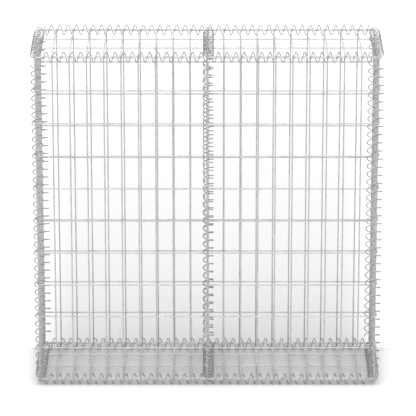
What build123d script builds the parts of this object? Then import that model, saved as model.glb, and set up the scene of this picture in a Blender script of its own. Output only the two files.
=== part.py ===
"""Wire gabion basket, one metre long, laced shut: two stone bays side by side.

Seven welded mesh panels are held together along every shared edge by spiral binders.
Millimetres, +Z up. The origin is on the ground, under the middle of the basket.
The front faces -Y.
"""
import os
from math import ceil, cos, floor, radians, sin, sqrt

from build123d import *

# Mesh, the same in all seven panels: square wires in two layers, welded where they cross
mesh_wire = 4.0
cell_width = 50.0
cell_height = 100.0
bay_columns = 10
side_columns = 6
lid_rows = 3
wall_rows = 10

# Spiral binders: a three-sided wire, bent in straight lengths round each turn
spiral_wire = 3.0
spiral_radius = 15.0
spiral_facets = 6
turns_per_column = 2
turns_per_row = 4
spiral_clearance = 0.1

# Overall sizes between the middles of the edge wires
half_length = bay_columns * cell_width
half_depth = side_columns * cell_width / 2
height = wall_rows * cell_height

# A panel that stands inside the walls is one wire short of them at each edge
inner_half_length = half_length - mesh_wire
inner_half_depth = half_depth - mesh_wire
inner_height = height - 2 * mesh_wire

# Pitches of the spirals, so that every turn meets the mesh in the same way
length_pitch = cell_width / turns_per_column
depth_pitch = 2 * inner_half_depth / side_columns / turns_per_column
height_pitch = cell_height / turns_per_row

# How far a spiral's corners reach from its axis, which is what the basket stands on
facet_angle = 360 / spiral_facets
facet_chord = 2 * spiral_radius * sin(radians(facet_angle / 2))
facet_rise = length_pitch / spiral_facets
facet_slope = facet_rise / facet_chord
facet_turn_cosine = (cos(radians(facet_angle)) + facet_slope**2) / (1 + facet_slope**2)
wire_corner = spiral_wire / sqrt(3)
spiral_reach = spiral_radius + wire_corner / sqrt((1 + facet_turn_cosine) / 2)

base_level = spiral_reach
lid_level = base_level + height
wall_middle = base_level + height / 2

# A spiral stops clear of the spiral that crosses its end
corner_gap = spiral_reach + spiral_wire
length_gap = length_pitch / 2

# A turn leans on the side of a crossing wire. Its middle stands off from that wire's middle
# by both half widths, and by what the turn's slope takes up across the crossing wire
bearing = (
    mesh_wire / 2 * (1 + facet_slope) + wire_corner * sqrt(1 + facet_slope**2) + spiral_clearance
)


def mesh_panel(plane, inner_span, inner_cells, inner_length, outer_span, outer_cells, outer_length):
    """Inner wires run along the plane's Y, outer wires lie on them and run along its X."""
    with BuildPart() as panel:
        with BuildSketch(plane.offset(-mesh_wire / 2)):
            with GridLocations(inner_span / inner_cells, 0, inner_cells + 1, 1):
                Rectangle(mesh_wire, inner_length)
        extrude(amount=mesh_wire)
        with BuildSketch(plane.offset(mesh_wire / 2)):
            with GridLocations(0, outer_span / outer_cells, 1, outer_cells + 1):
                Rectangle(outer_length, mesh_wire)
        extrude(amount=mesh_wire)
    return panel


def long_wall(plane):
    """Front or back wall: its wires reach the outsides of the end wires."""
    return mesh_panel(
        plane,
        2 * half_length, 2 * bay_columns, height + mesh_wire,
        height, wall_rows, 2 * half_length + mesh_wire,
    )


def side_wall(plane):
    """End wall: it stands between the upright wires of the long walls."""
    return mesh_panel(
        plane,
        2 * inner_half_depth, side_columns, height + mesh_wire,
        height, wall_rows, 2 * half_depth - mesh_wire,
    )


def cover_long_wires(plane):
    """The wires of the lid or base that run along the basket, between its long walls."""
    with BuildPart() as wires:
        with BuildSketch(plane.offset(-mesh_wire / 2)):
            with GridLocations(2 * inner_half_depth / lid_rows, 0, lid_rows + 1, 1):
                Rectangle(mesh_wire, 2 * half_length - mesh_wire)
        extrude(amount=mesh_wire)
    return wires


def cover_cross_wires(plane):
    """The wires of the lid or base that lie over the walls' edges, the end ones just inside."""
    length = 2 * half_depth + 3 * mesh_wire
    with BuildPart() as wires:
        with BuildSketch(plane.offset(mesh_wire / 2)):
            with GridLocations(0, cell_width, 1, 2 * bay_columns - 1):
                Rectangle(length, mesh_wire)
            with GridLocations(0, 2 * inner_half_length, 1, 2):
                Rectangle(length, mesh_wire)
        extrude(amount=mesh_wire)
    return wires


def spiral(axis, span, pitch, corner_angle, crossing_angle, crossing_place):
    """A left-handed coil along the axis plane's Z, filling the span but for a gap at each end.

    A corner stands at the corner angle, measured from the plane's X, and the coil passes the
    crossing angle at the crossing place.
    """
    gap = length_gap if axis.z_dir.X else corner_gap
    step = pitch / spiral_facets
    turn_start = crossing_place + pitch * (crossing_angle - corner_angle) / 360
    first = ceil((gap - turn_start) / step)
    last = floor((span - gap - turn_start) / step)
    corners = [
        (
            spiral_radius * cos(radians(corner_angle - k * facet_angle)),
            spiral_radius * sin(radians(corner_angle - k * facet_angle)),
            turn_start + k * step,
        )
        for k in range(first, last + 1)
    ]
    with BuildPart() as binder:
        with BuildLine(axis) as coil:
            Polyline(*corners)
        with BuildSketch(Plane(origin=coil.line @ 0, z_dir=coil.line % 0)):
            RegularPolygon(wire_corner, 3)
        sweep(path=coil.line, transition=Transition.RIGHT)
    return binder


def length_spiral(y, z, crossing_angle, side):
    """Binder along a front or back edge: it leans on the long wall's upright wires."""
    axis = Plane(origin=(-half_length, y, z), x_dir=(0, 0, 1), z_dir=(1, 0, 0))
    return spiral(axis, 2 * half_length, length_pitch, 0, crossing_angle, side * bearing)


def depth_spiral(x, z, crossing_angle, side):
    """Binder from front to back: it leans on the long wires of the lid or base."""
    axis = Plane(origin=(x, -half_depth, z), x_dir=(0, 0, 1), z_dir=(0, 1, 0))
    crossing_place = mesh_wire + side * bearing
    return spiral(axis, 2 * half_depth, depth_pitch, 90, crossing_angle, crossing_place)


def upright_spiral(x, y, crossing_angle, side):
    """Binder up a corner or up the end of the partition: it leans on level wires."""
    axis = Plane(origin=(x, y, base_level), x_dir=(1, 0, 0), z_dir=(0, 0, 1))
    return spiral(axis, height, height_pitch, 0, crossing_angle, side * bearing)


front_plane = Plane(origin=(0, -half_depth, wall_middle), x_dir=(1, 0, 0), z_dir=(0, -1, 0))
back_plane = Plane(origin=(0, half_depth, wall_middle), x_dir=(-1, 0, 0), z_dir=(0, 1, 0))
left_plane = Plane(origin=(-half_length, 0, wall_middle), x_dir=(0, -1, 0), z_dir=(-1, 0, 0))
right_plane = Plane(origin=(half_length, 0, wall_middle), x_dir=(0, 1, 0), z_dir=(1, 0, 0))
middle_plane = Plane(origin=(0, 0, wall_middle), x_dir=(0, 1, 0), z_dir=(1, 0, 0))
lid_plane = Plane(origin=(0, 0, lid_level), x_dir=(0, 1, 0), z_dir=(0, 0, 1))
base_plane = Plane(origin=(0, 0, base_level), x_dir=(0, 1, 0), z_dir=(0, 0, -1))

# The partition stands on the base's long wires and carries the lid's
partition = mesh_panel(
    middle_plane,
    2 * inner_half_depth, side_columns, inner_height + mesh_wire,
    inner_height, wall_rows, 2 * half_depth - mesh_wire,
)

# The base is welded. The lid's two layers are kept apart, so that each is plain bars
with BuildPart() as base:
    add(cover_long_wires(base_plane).part)
    add(cover_cross_wires(base_plane).part)

# Upright binders run in the layer of the level wires, in or beside the line of the edge wires
upright_y = half_depth + mesh_wire
left_x = -inner_half_length
middle_x = mesh_wire
right_x = half_length

pieces = {
    "front_panel": long_wall(front_plane),
    "back_panel": long_wall(back_plane),
    "left_side_panel": side_wall(left_plane),
    "right_side_panel": side_wall(right_plane),
    "middle_partition": partition,
    "lid_long_wires": cover_long_wires(lid_plane),
    "lid_cross_wires": cover_cross_wires(lid_plane),
    "base_panel": base,
    "top_front_spiral": length_spiral(-half_depth, lid_level, 180, -1),
    "top_back_spiral": length_spiral(half_depth, lid_level, 180, 1),
    "bottom_front_spiral": length_spiral(-half_depth, base_level, 0, 1),
    "bottom_back_spiral": length_spiral(half_depth, base_level, 0, -1),
    "top_left_spiral": depth_spiral(-half_length, lid_level, 90, -1),
    "top_middle_spiral": depth_spiral(middle_x, lid_level, 90, -1),
    "top_right_spiral": depth_spiral(half_length, lid_level, 270, 1),
    "bottom_left_spiral": depth_spiral(-half_length, base_level, 90, 1),
    "bottom_middle_spiral": depth_spiral(middle_x, base_level, 90, 1),
    "bottom_right_spiral": depth_spiral(half_length, base_level, 270, -1),
    "front_left_spiral": upright_spiral(left_x, -upright_y, 0, -1),
    "front_middle_spiral": upright_spiral(middle_x, -upright_y, 0, -1),
    "front_right_spiral": upright_spiral(right_x, -upright_y, 180, 1),
    "back_left_spiral": upright_spiral(left_x, upright_y, 0, 1),
    "back_middle_spiral": upright_spiral(middle_x, upright_y, 0, 1),
    "back_right_spiral": upright_spiral(right_x, upright_y, 180, -1),
}

os.makedirs("parts", exist_ok=True)
for name, piece in pieces.items():
    piece.part.label = name
    export_step(piece.part, f"parts/{name}.step")
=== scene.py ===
from math import asin, ceil, cos, degrees, floor, hypot, pi, radians, sin, sqrt

import bpy
from bpy.props import FloatProperty, FloatVectorProperty, IntProperty, PointerProperty
from mathutils import Matrix, Vector


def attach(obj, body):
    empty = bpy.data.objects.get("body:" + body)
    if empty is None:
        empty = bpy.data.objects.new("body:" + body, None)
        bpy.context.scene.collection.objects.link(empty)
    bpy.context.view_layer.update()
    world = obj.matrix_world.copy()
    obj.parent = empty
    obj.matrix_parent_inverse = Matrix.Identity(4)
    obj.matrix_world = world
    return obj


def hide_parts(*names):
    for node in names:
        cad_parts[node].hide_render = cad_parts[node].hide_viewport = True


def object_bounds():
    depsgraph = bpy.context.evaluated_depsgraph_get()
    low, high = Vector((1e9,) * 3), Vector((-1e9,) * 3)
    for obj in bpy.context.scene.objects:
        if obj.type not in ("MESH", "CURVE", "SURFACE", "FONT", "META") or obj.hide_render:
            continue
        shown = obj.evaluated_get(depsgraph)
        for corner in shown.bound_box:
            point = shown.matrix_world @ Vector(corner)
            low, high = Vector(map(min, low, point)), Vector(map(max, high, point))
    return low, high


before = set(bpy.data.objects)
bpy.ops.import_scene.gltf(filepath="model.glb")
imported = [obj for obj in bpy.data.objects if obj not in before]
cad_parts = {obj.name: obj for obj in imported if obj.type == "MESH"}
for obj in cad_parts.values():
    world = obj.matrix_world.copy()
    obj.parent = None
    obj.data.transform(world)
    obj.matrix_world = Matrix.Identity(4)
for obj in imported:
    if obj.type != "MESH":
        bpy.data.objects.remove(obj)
cad_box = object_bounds()

bl_info = {
    "name": "Gabion Basket",
    "version": (1, 0, 0),
    "blender": (4, 5, 0),
    "location": "3D Viewport > Sidebar > Gabion",
    "description": "Welded mesh basket laced with spiral binders, in galvanised wire",
    "category": "Object",
}

BODY = "root"

# Beyond every wire of the basket, in metres
NO_LIMIT = 100.0
# Points along a mesh wire, and sides of the round sections of mesh wires and binders
WIRE_POINTS = 41
WIRE_SIDES = 10
COIL_SIDES = 8
# Noise scales: how closely the waves of a mesh wire, and of a coil, follow one another
MESH_WAVES = 4.0
COIL_WAVES = 14.0
# Smallest and largest weld nugget, as shares of the weld size
SMALL_NUGGET = (0.85, 0.85, 0.5)
LARGE_NUGGET = (1.15, 1.15, 0.7)
# Air between a binder and the wire that it leans on, in metres
CLEARANCE = 0.00004
# How far below a level wire a turn of the front left binder passes its layer, in pitches
FRONT_LEFT_DROP = 0.42
# Where the softboxes aim: the middle of the basket
AIM = (0.0, 0.0, 0.5)
# How far the floor reaches to each side, in metres
FLOOR_REACH = 30.0


class MeshSettings(bpy.types.PropertyGroup):
    """Sizes of the welded mesh, the same in all seven panels."""
    wire: FloatProperty(
        name="Wire Diameter", description="Diameter of the mesh wires",
        default=0.004, min=0.002, max=0.008, subtype="DISTANCE", unit="LENGTH",
    )
    cell_width: FloatProperty(
        name="Cell Width", description="Spacing of the upright wires",
        default=0.05, min=0.02, max=0.2, subtype="DISTANCE", unit="LENGTH",
    )
    cell_height: FloatProperty(
        name="Cell Height", description="Spacing of the level wires",
        default=0.1, min=0.02, max=0.2, subtype="DISTANCE", unit="LENGTH",
    )
    length_cells: IntProperty(
        name="Cells Along", description="Cells along the front of the basket",
        default=20, min=2, max=80,
    )
    side_cells: IntProperty(
        name="Cells Deep", description="Cells across an end wall",
        default=6, min=2, max=40,
    )
    cover_rows: IntProperty(
        name="Cover Rows", description="Rows of cells from front to back in the lid and the base",
        default=3, min=1, max=20,
    )
    wall_rows: IntProperty(
        name="Wall Rows", description="Rows of cells in the height",
        default=10, min=2, max=40,
    )
    nugget: FloatProperty(
        name="Weld Size", description="Width of the weld nugget between two crossing wires",
        default=0.0042, min=0.0, max=0.008, subtype="DISTANCE", unit="LENGTH",
    )
    waviness: FloatProperty(
        name="Waviness", description="How far a wire strays from straight",
        default=0.0006, min=0.0, max=0.003, subtype="DISTANCE", unit="LENGTH",
    )


class SpiralSettings(bpy.types.PropertyGroup):
    """Sizes of the spiral binders along the edges."""
    wire: FloatProperty(
        name="Wire Diameter", description="Diameter of the binder wire",
        default=0.003, min=0.0015, max=0.006, subtype="DISTANCE", unit="LENGTH",
    )
    radius: FloatProperty(
        name="Coil Radius", description="Radius of the coils, to the middle of the wire",
        default=0.015, min=0.008, max=0.03, subtype="DISTANCE", unit="LENGTH",
    )
    facets: IntProperty(
        name="End Steps", description="Steps in a turn at which a binder may be cut off",
        default=6, min=3, max=24,
    )
    turns_per_column: IntProperty(
        name="Turns a Column", description="Turns of a level binder in one cell's width",
        default=2, min=1, max=8,
    )
    turns_per_row: IntProperty(
        name="Turns a Row", description="Turns of an upright binder in one cell's height",
        default=4, min=1, max=16,
    )
    unevenness: FloatProperty(
        name="Unevenness", description="How far the coils stray from a true helix",
        default=0.0005, min=0.0, max=0.003, subtype="DISTANCE", unit="LENGTH",
    )
    top_slack: FloatProperty(
        name="Top Slack", description="How far the top front binder stands off the upright wires",
        default=0.0015, min=0.0, max=0.008, subtype="DISTANCE", unit="LENGTH",
    )
    bottom_slack: FloatProperty(
        name="Bottom Slack",
        description="How far the bottom front binder stands off the upright wires",
        default=0.0027, min=0.0, max=0.008, subtype="DISTANCE", unit="LENGTH",
    )


class FinishSettings(bpy.types.PropertyGroup):
    """Colours of the zinc."""
    mesh_zinc: FloatVectorProperty(
        name="Mesh Zinc", description="Colour of the dull zinc on the mesh wires",
        default=(0.56, 0.565, 0.57), size=3, min=0.0, max=1.0, subtype="COLOR",
    )
    spiral_zinc: FloatVectorProperty(
        name="Spiral Zinc", description="Colour of the darker, smoother zinc on the binders",
        default=(0.46, 0.465, 0.47), size=3, min=0.0, max=1.0, subtype="COLOR",
    )


class StageSettings(bpy.types.PropertyGroup):
    """Floor, light and camera."""
    camera_place: FloatVectorProperty(
        name="Camera Place", description="Where the camera stands",
        default=(0.003, -9.247, 3.586), size=3, subtype="XYZ", unit="LENGTH",
    )
    camera_pitch: FloatProperty(
        name="Camera Pitch", description="How far the camera looks down",
        default=0.3215, subtype="ANGLE", unit="ROTATION",
    )
    camera_lens: FloatProperty(
        name="Camera Lens", description="Focal length on a 36 mm sensor, in millimetres",
        default=281.6, min=10.0, max=1000.0,
    )
    floor_colour: FloatVectorProperty(
        name="Floor Colour", description="Colour of the open floor, apart from how it is seen",
        default=(0.8, 0.8, 0.8), size=3, min=0.0, max=1.0, subtype="COLOR",
    )
    # Painted shade: the floor inside the basket's footprint is painted this darker colour
    painted_shade_colour: FloatVectorProperty(
        name="Ground Colour", description="Colour of the shaded ground under the basket",
        default=(0.64, 0.64, 0.64), size=3, min=0.0, max=1.0, subtype="COLOR",
    )
    # Painted shade on the floor close behind the basket and, fainter, where it is seen through it
    shade: FloatProperty(
        name="Shade Behind", description="How much darker the floor is close behind the basket",
        default=0.1, min=0.0, max=1.0, subtype="FACTOR",
    )
    far_shade: FloatProperty(
        name="Far Shade", description="How much darker the floor seen through the basket is",
        default=0.15, min=0.0, max=1.0, subtype="FACTOR",
    )
    # Painted contact shadows: darker lines on the floor under the front and back binders
    front_contact_shadow: FloatProperty(
        name="Front Contact", description="How much darker the ground is under the front binder",
        default=0.14, min=0.0, max=1.0, subtype="FACTOR",
    )
    back_contact_shadow: FloatProperty(
        name="Back Contact", description="How much darker the ground is under the back binder",
        default=0.7, min=0.0, max=1.0, subtype="FACTOR",
    )
    shade_reach: FloatProperty(
        name="Shade Reach", description="How far that shade reaches back before it is a third",
        default=0.6, min=0.05, max=5.0, subtype="DISTANCE", unit="LENGTH",
    )
    shade_end: FloatProperty(
        name="Shade End", description="Where the floor is open again, as seen over the lid",
        default=3.7, min=0.5, max=20.0, subtype="DISTANCE", unit="LENGTH",
    )
    edge_softness: FloatProperty(
        name="Edge Softness",
        description="How far past its edge the shaded ground has faded to a third",
        default=0.016, min=0.001, max=0.2, subtype="DISTANCE", unit="LENGTH",
    )
    light_direction: FloatVectorProperty(
        name="Light Direction", description="Where the soft light comes from",
        default=(-0.1, -0.5, 0.9), size=3, subtype="DIRECTION",
    )
    light_strength: FloatProperty(
        name="Light Strength", description="Strength of the soft light",
        default=1.9, min=0.0, max=20.0,
    )
    light_spread: FloatProperty(
        name="Light Spread", description="Angle that the soft light fills",
        default=1.4, min=0.0, max=3.0, subtype="ANGLE", unit="ROTATION",
    )
    backdrop_strength: FloatProperty(
        name="Backdrop Strength",
        description="How bright the lit backdrop shines behind the basket",
        default=2.2, min=0.0, max=20.0,
    )
    fill_strength: FloatProperty(
        name="Fill Strength", description="How bright the softbox in front shines",
        default=1.5, min=0.0, max=50.0,
    )
    sky_strength: FloatProperty(
        name="Sky Strength", description="Strength of the even light from all sides",
        default=0.55, min=0.0, max=2.0,
    )


def add(tree, kind, inputs=None, **settings):
    """A node of the given kind. Its inputs, by name or number, are outputs or plain values."""
    node = tree.nodes.new(kind)
    for key, value in settings.items():
        setattr(node, key, value)
    for key, value in (inputs or {}).items():
        if isinstance(value, bpy.types.NodeSocket):
            tree.links.new(value, node.inputs[key])
        else:
            node.inputs[key].default_value = value
    return node


def maths(tree, operation, *values):
    """The result of a maths node on outputs or numbers."""
    inputs = dict(enumerate(values))
    return add(tree, "ShaderNodeMath", inputs, operation=operation).outputs[0]


def vector(tree, x=0.0, y=0.0, z=0.0):
    """A vector made of outputs or numbers."""
    return add(tree, "ShaderNodeCombineXYZ", inputs={"X": x, "Y": y, "Z": z}).outputs[0]


def sockets(tree, ins, outs):
    """Declares a group's sockets: (name, type, default) going in, (name, type) coming out."""
    for name, kind, default in ins:
        socket = tree.interface.new_socket(name=name, in_out="INPUT", socket_type=kind)
        if default is not None:
            socket.default_value = default
    for name, kind in outs:
        tree.interface.new_socket(name=name, in_out="OUTPUT", socket_type=kind)
    return tree.nodes.new("NodeGroupInput").outputs, tree.nodes.new("NodeGroupOutput").inputs


def zinc_mottle_group():
    """Shader group: the cloudy greys and spangle of a zinc coat, on Object coordinates."""
    name = "zinc_mottle"
    if name in bpy.data.node_groups:
        return bpy.data.node_groups[name]
    tree = bpy.data.node_groups.new(name, "ShaderNodeTree")
    given, out = sockets(
        tree,
        [
            ("Zinc", "NodeSocketColor", (0.56, 0.56, 0.56, 1.0)),
            ("Dull Amount", "NodeSocketFloat", 0.25),
            ("Cloud Size", "NodeSocketFloat", 0.03),
            ("Spangle Size", "NodeSocketFloat", 0.004),
            ("Bright Roughness", "NodeSocketFloat", 0.38),
            ("Dull Roughness", "NodeSocketFloat", 0.62),
        ],
        [
            ("Color", "NodeSocketColor"),
            ("Roughness", "NodeSocketFloat"),
            ("Height", "NodeSocketFloat"),
        ],
    )
    # The grey, as shares of the zinc's: its least, and what spangle and fine grain add to it
    least, spangle_gain, fine_gain = 0.81, 0.22, 0.16
    # Clouds below the first level are bright zinc, above the second dull zinc
    bright_cloud, dull_cloud = 0.42, 0.66
    fine_scale, spangle_roughness, spangle_height = 1400.0, 0.06, 0.5

    place = tree.nodes.new("ShaderNodeTexCoord").outputs["Object"]
    clouds = add(
        tree, "ShaderNodeTexNoise",
        inputs={"Vector": place, "Scale": maths(tree, "DIVIDE", 1.0, given["Cloud Size"]),
                "Detail": 4.0, "Roughness": 0.6, "Distortion": 0.4},
    ).outputs["Fac"]
    spangle = add(
        tree, "ShaderNodeTexVoronoi",
        inputs={"Vector": place, "Scale": maths(tree, "DIVIDE", 1.0, given["Spangle Size"]),
                "Randomness": 1.0},
    )
    grains = add(
        tree, "ShaderNodeSeparateColor", inputs={"Color": spangle.outputs["Color"]}
    ).outputs[0]
    fine = add(
        tree, "ShaderNodeTexNoise",
        inputs={"Vector": place, "Scale": fine_scale, "Detail": 3.0, "Roughness": 0.65},
    ).outputs["Fac"]
    dull = add(
        tree, "ShaderNodeMapRange",
        inputs={"Value": clouds, "From Min": bright_cloud, "From Max": dull_cloud,
                "To Min": 0.0, "To Max": 1.0},
    ).outputs[0]
    shade = maths(
        tree, "ADD",
        maths(tree, "MULTIPLY", grains, spangle_gain),
        maths(tree, "MULTIPLY", fine, fine_gain),
    )
    shade = maths(tree, "ADD", shade, least)
    shade = maths(tree, "SUBTRACT", shade, maths(tree, "MULTIPLY", dull, given["Dull Amount"]))
    tint = add(
        tree, "ShaderNodeVectorMath", operation="SCALE",
        inputs={0: given["Zinc"], "Scale": shade},
    ).outputs[0]
    spread = maths(tree, "SUBTRACT", given["Dull Roughness"], given["Bright Roughness"])
    rough = maths(tree, "MULTIPLY_ADD", dull, spread, given["Bright Roughness"])
    rough = maths(tree, "ADD", rough, maths(tree, "MULTIPLY", grains, spangle_roughness))
    height = maths(tree, "ADD", fine, maths(tree, "MULTIPLY", grains, spangle_height))
    tree.links.new(tint, out["Color"])
    tree.links.new(rough, out["Roughness"])
    tree.links.new(height, out["Height"])
    return tree


def zinc_material(name, colour, dull_amount, bright, dull, metal):
    """Galvanised wire: a metal whose grey, roughness and grain vary with the zinc's mottle."""
    if name in bpy.data.materials:
        return bpy.data.materials[name]
    material = bpy.data.materials.new(name)
    material.use_nodes = True
    tree = material.node_tree
    surface = tree.nodes["Principled BSDF"]
    mottle = tree.nodes.new("ShaderNodeGroup")
    mottle.node_tree = zinc_mottle_group()
    mottle.inputs["Zinc"].default_value = (*colour, 1.0)
    mottle.inputs["Dull Amount"].default_value = dull_amount
    mottle.inputs["Bright Roughness"].default_value = bright
    mottle.inputs["Dull Roughness"].default_value = dull
    bump = add(
        tree, "ShaderNodeBump",
        inputs={"Height": mottle.outputs["Height"], "Strength": 0.25, "Distance": 0.0003},
    )
    tree.links.new(mottle.outputs["Color"], surface.inputs["Base Color"])
    tree.links.new(mottle.outputs["Roughness"], surface.inputs["Roughness"])
    tree.links.new(bump.outputs["Normal"], surface.inputs["Normal"])
    surface.inputs["Metallic"].default_value = metal
    return material


def mesh_zinc():
    """The dull, pale zinc of the mesh."""
    return zinc_material(
        "mesh_zinc", bpy.context.scene.gabion_finish.mesh_zinc,
        dull_amount=0.14, bright=0.30, dull=0.46, metal=0.8,
    )


def spiral_zinc():
    """The smoother, darker zinc of the binders."""
    return zinc_material(
        "spiral_zinc", bpy.context.scene.gabion_finish.spiral_zinc,
        dull_amount=0.10, bright=0.24, dull=0.4, metal=1.0,
    )


def strayed(tree, points, amount, waves, seed):
    """Moves points with smooth noise, by the amount at most, so that no wire is ruler straight."""
    place = tree.nodes.new("GeometryNodeInputPosition").outputs[0]
    noise = add(
        tree, "ShaderNodeTexNoise", noise_dimensions="4D",
        inputs={"Vector": place, "W": seed, "Scale": waves, "Detail": 1.0},
    ).outputs["Color"]
    centred = add(
        tree, "ShaderNodeVectorMath", operation="SUBTRACT",
        inputs={0: noise, 1: (0.5, 0.5, 0.5)},
    ).outputs[0]
    offset = add(
        tree, "ShaderNodeVectorMath", operation="SCALE",
        inputs={0: centred, "Scale": maths(tree, "MULTIPLY", amount, 2.0)},
    ).outputs[0]
    return add(
        tree, "GeometryNodeSetPosition", inputs={"Geometry": points, "Offset": offset}
    ).outputs[0]


def as_wire(tree, curve, diameter, sides):
    """Sweeps a round section of the given diameter along a curve, with closed ends."""
    section = add(
        tree, "GeometryNodeCurvePrimitiveCircle",
        inputs={"Resolution": sides, "Radius": maths(tree, "MULTIPLY", diameter, 0.5)},
    ).outputs["Curve"]
    return add(
        tree, "GeometryNodeCurveToMesh",
        inputs={"Curve": curve, "Profile Curve": section, "Fill Caps": True},
    ).outputs[0]


def held_within(tree, points, limit):
    """Moves points that lie further out along Y than the limit back to it."""
    place = tree.nodes.new("GeometryNodeInputPosition").outputs[0]
    low = vector(tree, -NO_LIMIT, maths(tree, "MULTIPLY", limit, -1.0), -NO_LIMIT)
    high = vector(tree, NO_LIMIT, limit, NO_LIMIT)
    place = add(
        tree, "ShaderNodeVectorMath", operation="MAXIMUM", inputs={0: place, 1: low}
    ).outputs[0]
    place = add(
        tree, "ShaderNodeVectorMath", operation="MINIMUM", inputs={0: place, 1: high}
    ).outputs[0]
    return add(
        tree, "GeometryNodeSetPosition", inputs={"Geometry": points, "Position": place}
    ).outputs[0]


def wire_row(tree, span, cells, limit, start, end, step):
    """Straight curves side by side over a span, held within a limit.

    Each runs from start to end, and step turns a distance across the row into a vector.
    """
    points = add(
        tree, "GeometryNodeMeshLine", mode="OFFSET",
        inputs={"Count": maths(tree, "ADD", cells, 1.0),
                "Start Location": step(maths(tree, "MULTIPLY", span, -0.5)),
                "Offset": step(maths(tree, "DIVIDE", span, cells))},
    ).outputs[0]
    points = held_within(tree, points, limit)
    line = add(
        tree, "GeometryNodeCurvePrimitiveLine", inputs={"Start": start, "End": end}
    ).outputs[0]
    line = add(
        tree, "GeometryNodeResampleCurve", inputs={"Curve": line, "Count": WIRE_POINTS}
    ).outputs[0]
    placed = add(
        tree, "GeometryNodeInstanceOnPoints", inputs={"Points": points, "Instance": line}
    ).outputs[0]
    return add(tree, "GeometryNodeRealizeInstances", inputs={"Geometry": placed}).outputs[0]


def welded_mesh_tree():
    """Geometry Nodes: wires in two layers, with a weld nugget at each crossing.

    Inner wires run along Y in the plane Z = 0, outer wires along X, one diameter above.
    """
    name = "welded_mesh"
    if name in bpy.data.node_groups:
        return bpy.data.node_groups[name]
    tree = bpy.data.node_groups.new(name, "GeometryNodeTree")
    tree.is_modifier = True
    given, out = sockets(
        tree,
        [
            ("Geometry", "NodeSocketGeometry", None),
            ("Inner Cells", "NodeSocketInt", 20),
            ("Inner Span", "NodeSocketFloat", 1.0),
            ("Inner Length", "NodeSocketFloat", 1.0),
            ("Outer Cells", "NodeSocketInt", 10),
            ("Outer Span", "NodeSocketFloat", 1.0),
            ("Outer Limit", "NodeSocketFloat", NO_LIMIT),
            ("Outer Length", "NodeSocketFloat", 1.0),
            ("Wire Diameter", "NodeSocketFloat", 0.004),
            ("Weld Size", "NodeSocketFloat", 0.0042),
            ("Waviness", "NodeSocketFloat", 0.0006),
            ("Seed", "NodeSocketInt", 1),
            ("Material", "NodeSocketMaterial", None),
        ],
        [("Geometry", "NodeSocketGeometry")],
    )
    wire = given["Wire Diameter"]
    half_inner = maths(tree, "MULTIPLY", given["Inner Length"], 0.5)
    half_outer = maths(tree, "MULTIPLY", given["Outer Length"], 0.5)
    inner = wire_row(
        tree, given["Inner Span"], given["Inner Cells"], NO_LIMIT,
        vector(tree, y=maths(tree, "MULTIPLY", half_inner, -1.0)),
        vector(tree, y=half_inner),
        lambda value: vector(tree, x=value),
    )
    outer = wire_row(
        tree, given["Outer Span"], given["Outer Cells"], given["Outer Limit"],
        vector(tree, x=maths(tree, "MULTIPLY", half_outer, -1.0), z=wire),
        vector(tree, x=half_outer, z=wire),
        lambda value: vector(tree, y=value),
    )
    wavy = [
        strayed(tree, row, given["Waviness"], MESH_WAVES, given["Seed"]) for row in (inner, outer)
    ]
    wires = [as_wire(tree, row, wire, WIRE_SIDES) for row in wavy]
    crossings = add(
        tree, "GeometryNodeMeshGrid",
        inputs={"Size X": given["Inner Span"], "Size Y": given["Outer Span"],
                "Vertices X": maths(tree, "ADD", given["Inner Cells"], 1.0),
                "Vertices Y": maths(tree, "ADD", given["Outer Cells"], 1.0)},
    ).outputs[0]
    crossings = held_within(tree, crossings, given["Outer Limit"])
    crossings = add(
        tree, "GeometryNodeTransform",
        inputs={"Geometry": crossings,
                "Translation": vector(tree, z=maths(tree, "MULTIPLY", wire, 0.5))},
    ).outputs[0]
    crossings = strayed(tree, crossings, given["Waviness"], MESH_WAVES, given["Seed"])
    nugget = add(
        tree, "GeometryNodeMeshUVSphere",
        inputs={"Segments": 8, "Rings": 5,
                "Radius": maths(tree, "MULTIPLY", given["Weld Size"], 0.5)},
    ).outputs[0]
    size = add(
        tree, "FunctionNodeRandomValue", data_type="FLOAT_VECTOR",
        inputs={0: SMALL_NUGGET, 1: LARGE_NUGGET, "Seed": given["Seed"]},
    ).outputs[0]
    nuggets = add(
        tree, "GeometryNodeInstanceOnPoints",
        inputs={"Points": crossings, "Instance": nugget, "Scale": size},
    ).outputs[0]
    joined = tree.nodes.new("GeometryNodeJoinGeometry")
    for part in (*wires, nuggets):
        tree.links.new(part, joined.inputs[0])
    end_tree(tree, joined.outputs[0], given["Material"], out["Geometry"])
    return tree


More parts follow.
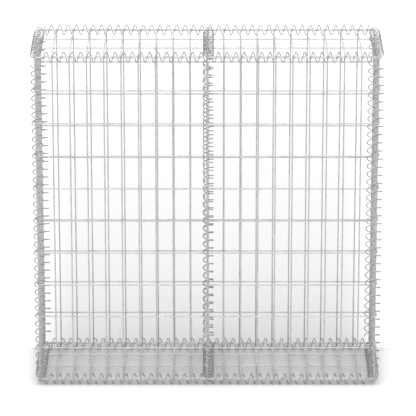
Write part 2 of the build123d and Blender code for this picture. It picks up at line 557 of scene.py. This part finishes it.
def spiral_tree():
    """Geometry Nodes: a left-handed coil of round wire along Z."""
    name = "spiral_binder"
    if name in bpy.data.node_groups:
        return bpy.data.node_groups[name]
    tree = bpy.data.node_groups.new(name, "GeometryNodeTree")
    tree.is_modifier = True
    given, out = sockets(
        tree,
        [
            ("Geometry", "NodeSocketGeometry", None),
            ("Start", "NodeSocketFloat", 0.0),
            ("Start Angle", "NodeSocketFloat", 0.0),
            ("Turns", "NodeSocketFloat", 39.0),
            ("Pitch", "NodeSocketFloat", 0.025),
            ("Radius", "NodeSocketFloat", 0.015),
            ("Wire Diameter", "NodeSocketFloat", 0.003),
            ("Unevenness", "NodeSocketFloat", 0.0005),
            ("Points a Turn", "NodeSocketInt", 24),
            ("Seed", "NodeSocketInt", 1),
            ("Material", "NodeSocketMaterial", None),
        ],
        [("Geometry", "NodeSocketGeometry")],
    )
    line = add(
        tree, "GeometryNodeCurvePrimitiveLine",
        inputs={"Start": (0.0, 0.0, 0.0), "End": (0.0, 0.0, 1.0)},
    ).outputs[0]
    steps = maths(tree, "MULTIPLY", given["Turns"], given["Points a Turn"])
    line = add(
        tree, "GeometryNodeResampleCurve",
        inputs={"Curve": line, "Count": maths(tree, "ADD", steps, 1.0)},
    ).outputs[0]
    share = tree.nodes.new("GeometryNodeSplineParameter").outputs["Factor"]
    turned = maths(tree, "MULTIPLY", share, given["Turns"])
    angle = maths(tree, "MULTIPLY_ADD", turned, -2 * pi, given["Start Angle"])
    place = vector(
        tree,
        maths(tree, "MULTIPLY", given["Radius"], maths(tree, "COSINE", angle)),
        maths(tree, "MULTIPLY", given["Radius"], maths(tree, "SINE", angle)),
        maths(tree, "MULTIPLY_ADD", turned, given["Pitch"], given["Start"]),
    )
    coil = add(
        tree, "GeometryNodeSetPosition", inputs={"Geometry": line, "Position": place}
    ).outputs[0]
    coil = strayed(tree, coil, given["Unevenness"], COIL_WAVES, given["Seed"])
    wire = as_wire(tree, coil, given["Wire Diameter"], COIL_SIDES)
    end_tree(tree, wire, given["Material"], out["Geometry"])
    return tree


def end_tree(tree, shape, material, out):
    """Ends a tree: real geometry, smooth sides and a material."""
    real = add(tree, "GeometryNodeRealizeInstances", inputs={"Geometry": shape}).outputs[0]
    smooth = add(tree, "GeometryNodeSetShadeSmooth", inputs={"Geometry": real}).outputs[0]
    dressed = add(
        tree, "GeometryNodeSetMaterial", inputs={"Geometry": smooth, "Material": material}
    ).outputs[0]
    tree.links.new(dressed, out)


def grown(name, tree, values, placing):
    """A plain mesh object made by a Geometry Nodes tree, put in its place in the mesh itself."""
    seedling = bpy.data.objects.new(name + "_nodes", bpy.data.meshes.new(name + "_nodes"))
    bpy.context.scene.collection.objects.link(seedling)
    modifier = seedling.modifiers.new("Nodes", "NODES")
    modifier.node_group = tree
    for item in tree.interface.items_tree:
        if item.item_type == "SOCKET" and item.in_out == "INPUT" and item.name in values:
            modifier[item.identifier] = values[item.name]
    depsgraph = bpy.context.evaluated_depsgraph_get()
    mesh = bpy.data.meshes.new_from_object(seedling.evaluated_get(depsgraph))
    bpy.data.objects.remove(seedling)
    if not mesh.polygons:
        raise RuntimeError(f"{name} came out empty")
    mesh.name = name
    mesh.transform(placing)
    mesh.update()
    piece = bpy.data.objects.new(name, mesh)
    bpy.context.scene.collection.objects.link(piece)
    return piece


def placing(origin, x_dir, z_dir):
    """The matrix of a plane given by its origin, its X and its outward Z."""
    x = Vector(x_dir)
    z = Vector(z_dir)
    turn = Matrix((x, z.cross(x), z)).transposed().to_4x4()
    return Matrix.Translation(Vector(origin)) @ turn


class Sizes:
    """Lengths that follow from the settings, in metres, as in the solids."""

    def __init__(self, scene):
        mesh = scene.gabion_mesh
        coil = scene.gabion_spiral
        self.wire = mesh.wire
        self.half_length = mesh.length_cells * mesh.cell_width / 2
        self.half_depth = mesh.side_cells * mesh.cell_width / 2
        self.height = mesh.wall_rows * mesh.cell_height
        self.inner_half_length = self.half_length - mesh.wire
        self.inner_half_depth = self.half_depth - mesh.wire
        self.inner_height = self.height - 2 * mesh.wire
        self.length_pitch = mesh.cell_width / coil.turns_per_column
        self.depth_pitch = 2 * self.inner_half_depth / mesh.side_cells / coil.turns_per_column
        self.height_pitch = mesh.cell_height / coil.turns_per_row
        self.base = reach_of(coil, self.length_pitch)
        self.lid = self.base + self.height
        self.wall_middle = self.base + self.height / 2
        self.corner_gap = self.base + coil.wire
        self.length_gap = self.length_pitch / 2
        slope = self.length_pitch / (2 * pi * coil.radius)
        self.bearing = (mesh.wire + coil.wire) / 2 * hypot(1, slope) + CLEARANCE


def reach_of(coil, pitch):
    """How far the corners of the CAD coil reach from its axis: the basket stands on them."""
    turn = radians(360 / coil.facets)
    slope = pitch / coil.facets / (2 * coil.radius * sin(turn / 2))
    bend = (cos(turn) + slope**2) / (1 + slope**2)
    wire_corner = coil.wire / sqrt(3)
    return coil.radius + wire_corner / sqrt((1 + bend) / 2)


def dress(piece, nodes):
    """Says which nodes a piece stands in for and its body."""
    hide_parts(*nodes)
    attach(piece, BODY)


def panel(name, nodes, plane, inner, outer, seed, limit=NO_LIMIT):
    """One welded mesh panel. inner and outer are each (span, cells, length) of one layer.

    Outer wires further from the middle than the limit are moved in to it.
    """
    mesh = bpy.context.scene.gabion_mesh
    values = {
        "Inner Span": inner[0], "Inner Cells": inner[1], "Inner Length": inner[2],
        "Outer Span": outer[0], "Outer Cells": outer[1], "Outer Length": outer[2],
        "Outer Limit": limit,
        "Wire Diameter": mesh.wire, "Weld Size": mesh.nugget, "Waviness": mesh.waviness,
        "Seed": seed, "Material": mesh_zinc(),
    }
    dress(grown(name, welded_mesh_tree(), values, plane), nodes)


def spiral(node, axis, span, pitch, gap, corner_angle, crossing_angle, crossing_place, seed):
    """One left-handed binder along an axis: at the crossing place it passes the crossing angle.

    Angles are in degrees. It ends where a corner of the CAD coil, one of them at the corner
    angle, is nearest to the gap.
    """
    coil = bpy.context.scene.gabion_spiral
    step = pitch / coil.facets
    turn_start = crossing_place + pitch * (crossing_angle - corner_angle) / 360
    first = ceil((gap - turn_start) / step)
    last = floor((span - gap - turn_start) / step)
    values = {
        "Start": turn_start + first * step,
        "Start Angle": radians(corner_angle - first * 360 / coil.facets),
        "Turns": (last - first) / coil.facets,
        "Pitch": pitch, "Radius": coil.radius, "Wire Diameter": coil.wire,
        "Unevenness": coil.unevenness, "Seed": seed, "Material": spiral_zinc(),
    }
    dress(grown(node + "_wire", spiral_tree(), values, axis), [node])


class GABION_OT_long_walls(bpy.types.Operator):
    """Makes the front and back mesh panels"""
    bl_idname = "gabion.long_walls"
    bl_label = "Front and Back Panels"

    def execute(self, context):
        s = Sizes(context.scene)
        mesh = context.scene.gabion_mesh
        inner = (2 * s.half_length, mesh.length_cells, s.height + s.wire)
        outer = (s.height, mesh.wall_rows, 2 * s.half_length + s.wire)
        front = placing((0, -s.half_depth, s.wall_middle), (1, 0, 0), (0, -1, 0))
        back = placing((0, s.half_depth, s.wall_middle), (-1, 0, 0), (0, 1, 0))
        panel("front_panel_wires", ["front_panel"], front, inner, outer, seed=1)
        panel("back_panel_wires", ["back_panel"], back, inner, outer, seed=2)
        return {"FINISHED"}


class GABION_OT_side_walls(bpy.types.Operator):
    """Makes the two end panels and the partition between the stone bays"""
    bl_idname = "gabion.side_walls"
    bl_label = "End Panels and Partition"

    def execute(self, context):
        s = Sizes(context.scene)
        mesh = context.scene.gabion_mesh
        inner = (2 * s.inner_half_depth, mesh.side_cells, s.height + s.wire)
        outer = (s.height, mesh.wall_rows, 2 * s.half_depth - s.wire)
        left = placing((-s.half_length, 0, s.wall_middle), (0, -1, 0), (-1, 0, 0))
        right = placing((s.half_length, 0, s.wall_middle), (0, 1, 0), (1, 0, 0))
        middle = placing((0, 0, s.wall_middle), (0, 1, 0), (1, 0, 0))
        panel("left_side_panel_wires", ["left_side_panel"], left, inner, outer, seed=3)
        panel("right_side_panel_wires", ["right_side_panel"], right, inner, outer, seed=4)
        inner = (inner[0], inner[1], s.inner_height + s.wire)
        outer = (s.inner_height, outer[1], outer[2])
        panel("middle_partition_wires", ["middle_partition"], middle, inner, outer, seed=5)
        return {"FINISHED"}


class GABION_OT_covers(bpy.types.Operator):
    """Makes the lid and the base"""
    bl_idname = "gabion.covers"
    bl_label = "Lid and Base"

    def execute(self, context):
        s = Sizes(context.scene)
        mesh = context.scene.gabion_mesh
        inner = (2 * s.inner_half_depth, mesh.cover_rows, 2 * s.half_length - s.wire)
        outer = (2 * s.half_length, mesh.length_cells, 2 * s.half_depth + 3 * s.wire)
        lid = placing((0, 0, s.lid), (0, 1, 0), (0, 0, 1))
        base = placing((0, 0, s.base), (0, 1, 0), (0, 0, -1))
        # The end cross wires lie just inside the end walls
        panel("lid_wires", ["lid_long_wires", "lid_cross_wires"], lid, inner, outer,
              seed=6, limit=s.inner_half_length)
        panel("base_panel_wires", ["base_panel"], base, inner, outer,
              seed=7, limit=s.inner_half_length)
        return {"FINISHED"}


class GABION_OT_length_spirals(bpy.types.Operator):
    """Makes the four binders along the front and back edges"""
    bl_idname = "gabion.length_spirals"
    bl_label = "Long Binders"

    def execute(self, context):
        s = Sizes(context.scene)
        coil = context.scene.gabion_spiral
        top = s.bearing + coil.top_slack
        bottom = s.bearing + coil.bottom_slack
        for seed, (node, y, z, angle, place) in enumerate((
            ("top_front_spiral", -s.half_depth, s.lid, 180, -top),
            ("top_back_spiral", s.half_depth, s.lid, 180, -s.bearing),
            ("bottom_front_spiral", -s.half_depth, s.base, 0, bottom),
            ("bottom_back_spiral", s.half_depth, s.base, 0, s.bearing),
        ), start=10):
            axis = placing((-s.half_length, y, z), (0, 0, 1), (1, 0, 0))
            spiral(node, axis, 2 * s.half_length, s.length_pitch, s.length_gap,
                   corner_angle=0, crossing_angle=angle, crossing_place=place, seed=seed)
        return {"FINISHED"}


class GABION_OT_depth_spirals(bpy.types.Operator):
    """Makes the six binders from front to back, along the ends and the middle"""
    bl_idname = "gabion.depth_spirals"
    bl_label = "Cross Binders"

    def execute(self, context):
        s = Sizes(context.scene)
        for seed, (node, x, z, angle, side) in enumerate((
            ("top_left_spiral", -s.half_length, s.lid, 90, -1),
            ("top_middle_spiral", s.wire, s.lid, 90, -1),
            ("top_right_spiral", s.half_length, s.lid, 270, 1),
            ("bottom_left_spiral", -s.half_length, s.base, 90, 1),
            ("bottom_middle_spiral", s.wire, s.base, 90, 1),
            ("bottom_right_spiral", s.half_length, s.base, 270, -1),
        ), start=20):
            axis = placing((x, -s.half_depth, z), (0, 0, 1), (0, 1, 0))
            place = s.wire + side * s.bearing
            spiral(node, axis, 2 * s.half_depth, s.depth_pitch, s.corner_gap,
                   corner_angle=90, crossing_angle=angle, crossing_place=place, seed=seed)
        return {"FINISHED"}


class GABION_OT_upright_spirals(bpy.types.Operator):
    """Makes the six binders up the corners and up the ends of the partition"""
    bl_idname = "gabion.upright_spirals"
    bl_label = "Upright Binders"

    def execute(self, context):
        s = Sizes(context.scene)
        coil = context.scene.gabion_spiral
        # The axes stand so that the round wire, uneven as it is, just stays in the CAD box.
        # The lean is the angle at which a turn passes the layer of the level wires
        reach = coil.radius + (coil.wire + coil.unevenness) / 2
        out = cad_box[1][1] - reach
        lean = degrees(asin((s.half_depth + s.wire - out) / coil.radius))
        half_turn = s.height_pitch / 2
        drop = s.height_pitch * FRONT_LEFT_DROP
        for seed, (node, x, face, place) in enumerate((
            ("front_left_spiral", -s.inner_half_length, -1, -drop),
            ("front_middle_spiral", s.wire, -1, s.bearing - half_turn),
            ("front_right_spiral", s.half_length, -1, s.bearing - half_turn),
            ("back_left_spiral", -s.inner_half_length, 1, half_turn),
            ("back_middle_spiral", s.wire, 1, half_turn - s.bearing),
            ("back_right_spiral", s.half_length, 1, half_turn - s.bearing),
        ), start=30):
            axis = placing((x, face * out, s.base), (1, 0, 0), (0, 0, 1))
            spiral(node, axis, s.height, s.height_pitch, s.corner_gap,
                   corner_angle=0, crossing_angle=face * lean, crossing_place=place, seed=seed)
        return {"FINISHED"}


def faded(tree, value, start, end):
    """1 below the start, 0 above the end, and smooth between them."""
    return add(
        tree, "ShaderNodeMapRange", interpolation_type="SMOOTHSTEP",
        inputs={"Value": value, "From Min": start, "From Max": end, "To Min": 1.0, "To Max": 0.0},
    ).outputs[0]


def dying_out(tree, value, start, reach):
    """1 up to the start, and a third for each reach beyond it."""
    beyond = maths(tree, "MAXIMUM", maths(tree, "SUBTRACT", value, start), 0.0)
    return maths(tree, "EXPONENT", maths(tree, "DIVIDE", beyond, -reach))


def floor_material(stage, half_length, half_depth, pitch, lowest):
    """Pale floor that the camera sees as white, with shade painted inside the basket and behind
    it.

    Under the long binders painted contact shadows are darkest where their turns are lowest, one
    pitch apart.
    """
    # The painted shade behind is full over this share of the length. Its near and far ends are
    # soft
    full_share, near_softness, far_softness = 0.8, 0.003, 0.3
    # The front painted contact shadow line's middle inside the front edge, and where it is full
    # and where gone
    front_line, front_full, front_gone = 0.004, 0.002, 0.011
    # How deep the rear painted contact shadow line is full, and how far on it has faded to a third
    rear_full, rear_reach = 0.004, 0.018
    # Along a binder a painted contact shadow swings about this share, strongest under its lowest
    # points
    spot_middle, spot_swing = 0.6, 0.4

    material = bpy.data.materials.new("stage_floor")
    material.use_nodes = True
    tree = material.node_tree
    surface = tree.nodes["Principled BSDF"]
    surface.inputs["Roughness"].default_value = 0.9
    surface.inputs["Specular IOR Level"].default_value = 0.0
    place = add(
        tree, "ShaderNodeSeparateXYZ",
        inputs={"Vector": tree.nodes.new("ShaderNodeTexCoord").outputs["Object"]},
    ).outputs
    # The footprint, where shade is painted. Distances across are scaled down with the distance
    # from the camera's set place, so that the painted shade behind looks as wide as the basket
    distance = hypot(*stage.camera_place[:2])
    widening = maths(tree, "DIVIDE", maths(tree, "ADD", place["Y"], half_depth), distance)
    widening = maths(tree, "MAXIMUM", widening, 0.0)
    across = maths(tree, "DIVIDE", maths(tree, "ABSOLUTE", place["X"]),
                   maths(tree, "ADD", widening, 1.0))
    forward = maths(tree, "MULTIPLY", place["Y"], -1.0)
    over = maths(tree, "MULTIPLY",
                 dying_out(tree, across, half_length, stage.edge_softness),
                 dying_out(tree, forward, half_depth, stage.edge_softness))
    inside = faded(tree, place["Y"], half_depth - near_softness, half_depth + near_softness)

    # The painted shade behind it, and the fainter painted shade seen through the basket
    beside = faded(tree, across, half_length * full_share, half_length + stage.edge_softness)
    back = maths(tree, "SUBTRACT", place["Y"], half_depth)
    near_shade = dying_out(tree, back, 0.0, stage.shade_reach)
    far_shade = faded(tree, place["Y"], stage.shade_end - far_softness, stage.shade_end)
    shade = maths(tree, "MULTIPLY_ADD", near_shade, stage.shade,
                  maths(tree, "MULTIPLY", far_shade, stage.far_shade))
    shade = maths(tree, "MULTIPLY", maths(tree, "MULTIPLY", shade, beside),
                  maths(tree, "SUBTRACT", 1.0, inside))
    light = maths(tree, "SUBTRACT", 1.0, shade)

    # Painted contact shadows: darker lines on the floor under the long binders
    line = maths(tree, "ABSOLUTE", maths(tree, "ADD", place["Y"], half_depth - front_line))
    front = maths(tree, "MULTIPLY", faded(tree, line, front_full, front_gone), stage.front_contact_shadow)
    depth = maths(tree, "SUBTRACT", half_depth, place["Y"])
    rear = maths(tree, "MULTIPLY", dying_out(tree, depth, rear_full, rear_reach), inside)
    contact = maths(tree, "MULTIPLY_ADD", rear, stage.back_contact_shadow, front)
    turn = maths(tree, "MULTIPLY", maths(tree, "SUBTRACT", place["X"], lowest), 2 * pi / pitch)
    spots = maths(tree, "MULTIPLY_ADD", maths(tree, "COSINE", turn), spot_swing, spot_middle)
    contact = maths(tree, "MULTIPLY", maths(tree, "MULTIPLY", contact, spots), over)
    light = maths(tree, "MULTIPLY", light, maths(tree, "SUBTRACT", 1.0, contact))

    # Camera and mirrored rays see the open floor as white
    shaded = maths(tree, "MULTIPLY", over, inside)
    seen = tree.nodes.new("ShaderNodeLightPath").outputs
    direct = maths(tree, "MAXIMUM", seen["Is Camera Ray"], seen["Is Glossy Ray"])
    open_floor = add(
        tree, "ShaderNodeMix", data_type="RGBA",
        inputs={"Factor": direct, "A": (*stage.floor_colour, 1.0), "B": (1.0, 1.0, 1.0, 1.0)},
    ).outputs["Result"]
    # Inside the footprint the floor is painted the darker shade colour
    colour = add(
        tree, "ShaderNodeMix", data_type="RGBA",
        inputs={"Factor": shaded, "A": open_floor, "B": (*stage.painted_shade_colour, 1.0)},
    ).outputs["Result"]
    colour = add(
        tree, "ShaderNodeVectorMath", operation="SCALE", inputs={0: colour, "Scale": light}
    ).outputs[0]
    tree.links.new(colour, surface.inputs["Base Color"])
    return material


def panel_lamp(name, strength, size, place):
    """A flat softbox aimed at the basket, which the camera doesn't see."""
    lamp = bpy.data.lights.new(name, "AREA")
    lamp.shape = "RECTANGLE"
    lamp.size, lamp.size_y = size
    lamp.energy = strength * pi * size[0] * size[1]
    box = bpy.data.objects.new(name, lamp)
    box.location = place
    box.rotation_euler = (Vector(place) - Vector(AIM)).to_track_quat("Z", "Y").to_euler()
    box.visible_camera = False
    bpy.context.scene.collection.objects.link(box)


def make_floor(scene):
    """One flat sheet at ground level. It is no part of the basket."""
    s = Sizes(scene)
    ground = bpy.data.meshes.new("stage_floor")
    far = FLOOR_REACH
    corners = [(-far, -far, 0), (far, -far, 0), (far, far, 0), (-far, far, 0)]
    ground.from_pydata(corners, [], [(0, 1, 2, 3)])
    ground.materials.append(floor_material(
        scene.gabion_stage, s.half_length, s.half_depth + s.wire, s.length_pitch,
        s.bearing + s.length_pitch / 2,
    ))
    sheet = bpy.data.objects.new("stage_floor", ground)
    scene.collection.objects.link(sheet)


def make_light(scene):
    """A wide soft light, two softboxes and an even sky that the camera sees as white."""
    stage = scene.gabion_stage
    lamp = bpy.data.lights.new("softbox", "SUN")
    lamp.energy = stage.light_strength
    lamp.angle = stage.light_spread
    softbox = bpy.data.objects.new("softbox", lamp)
    softbox.rotation_euler = Vector(stage.light_direction).to_track_quat("Z", "Y").to_euler()
    scene.collection.objects.link(softbox)
    # The backdrop stands where the cross wires of the lid mirror it
    panel_lamp("lit_backdrop", stage.backdrop_strength, size=(2.6, 3.0), place=(0.0, 6.0, 2.2))
    panel_lamp("front_fill", stage.fill_strength, size=(1.4, 0.9), place=(0.0, -2.0, 1.9))

    world = bpy.data.worlds.new("studio")
    scene.world = world
    world.use_nodes = True
    tree = world.node_tree
    sky = tree.nodes["Background"]
    sky.inputs["Color"].default_value = (1.0, 1.0, 1.0, 1.0)
    seen = tree.nodes.new("ShaderNodeLightPath").outputs
    strength = maths(tree, "MULTIPLY_ADD", seen["Is Camera Ray"],
                     1.0 - stage.sky_strength, stage.sky_strength)
    tree.links.new(strength, sky.inputs["Strength"])


def make_camera(scene):
    """The camera that was fitted to the photo."""
    stage = scene.gabion_stage
    view = bpy.data.cameras.new("camera")
    view.lens = stage.camera_lens
    view.sensor_width = 36.0
    view.clip_end = 100.0
    camera = bpy.data.objects.new("camera", view)
    camera.location = stage.camera_place
    camera.rotation_euler = (pi / 2 - stage.camera_pitch, 0.0, 0.0)
    scene.collection.objects.link(camera)
    scene.camera = camera


class GABION_OT_stage(bpy.types.Operator):
    """Makes the floor, the soft studio light and the camera"""
    bl_idname = "gabion.stage"
    bl_label = "Stage"

    def execute(self, context):
        scene = context.scene
        make_floor(scene)
        make_light(scene)
        make_camera(scene)
        scene.view_settings.view_transform = "Standard"
        return {"FINISHED"}


class GABION_PT_sidebar(bpy.types.Panel):
    """Lists the settings and the steps that make the basket"""
    bl_idname = "GABION_PT_sidebar"
    bl_label = "Gabion Basket"
    bl_space_type = "VIEW_3D"
    bl_region_type = "UI"
    bl_category = "Gabion"

    def draw(self, context):
        layout = self.layout
        for group in SETTINGS:
            settings = getattr(context.scene, group)
            box = layout.box()
            for name in settings.__annotations__:
                box.prop(settings, name)
        for step in STEPS:
            layout.operator(step.bl_idname)


SETTINGS = {
    "gabion_mesh": MeshSettings,
    "gabion_spiral": SpiralSettings,
    "gabion_finish": FinishSettings,
    "gabion_stage": StageSettings,
}
STEPS = (
    GABION_OT_long_walls,
    GABION_OT_side_walls,
    GABION_OT_covers,
    GABION_OT_length_spirals,
    GABION_OT_depth_spirals,
    GABION_OT_upright_spirals,
    GABION_OT_stage,
)


def register():
    for name, settings in SETTINGS.items():
        bpy.utils.register_class(settings)
        setattr(bpy.types.Scene, name, PointerProperty(type=settings))
    for step in STEPS:
        bpy.utils.register_class(step)
    bpy.utils.register_class(GABION_PT_sidebar)


def unregister():
    bpy.utils.unregister_class(GABION_PT_sidebar)
    for step in reversed(STEPS):
        bpy.utils.unregister_class(step)
    for name, settings in reversed(SETTINGS.items()):
        delattr(bpy.types.Scene, name)
        bpy.utils.unregister_class(settings)


def main():
    """Makes everything with the settings as they are."""
    register()
    for step in STEPS:
        group, name = step.bl_idname.split(".")
        getattr(getattr(bpy.ops, group), name)()


if __name__ == "__main__":
    main()
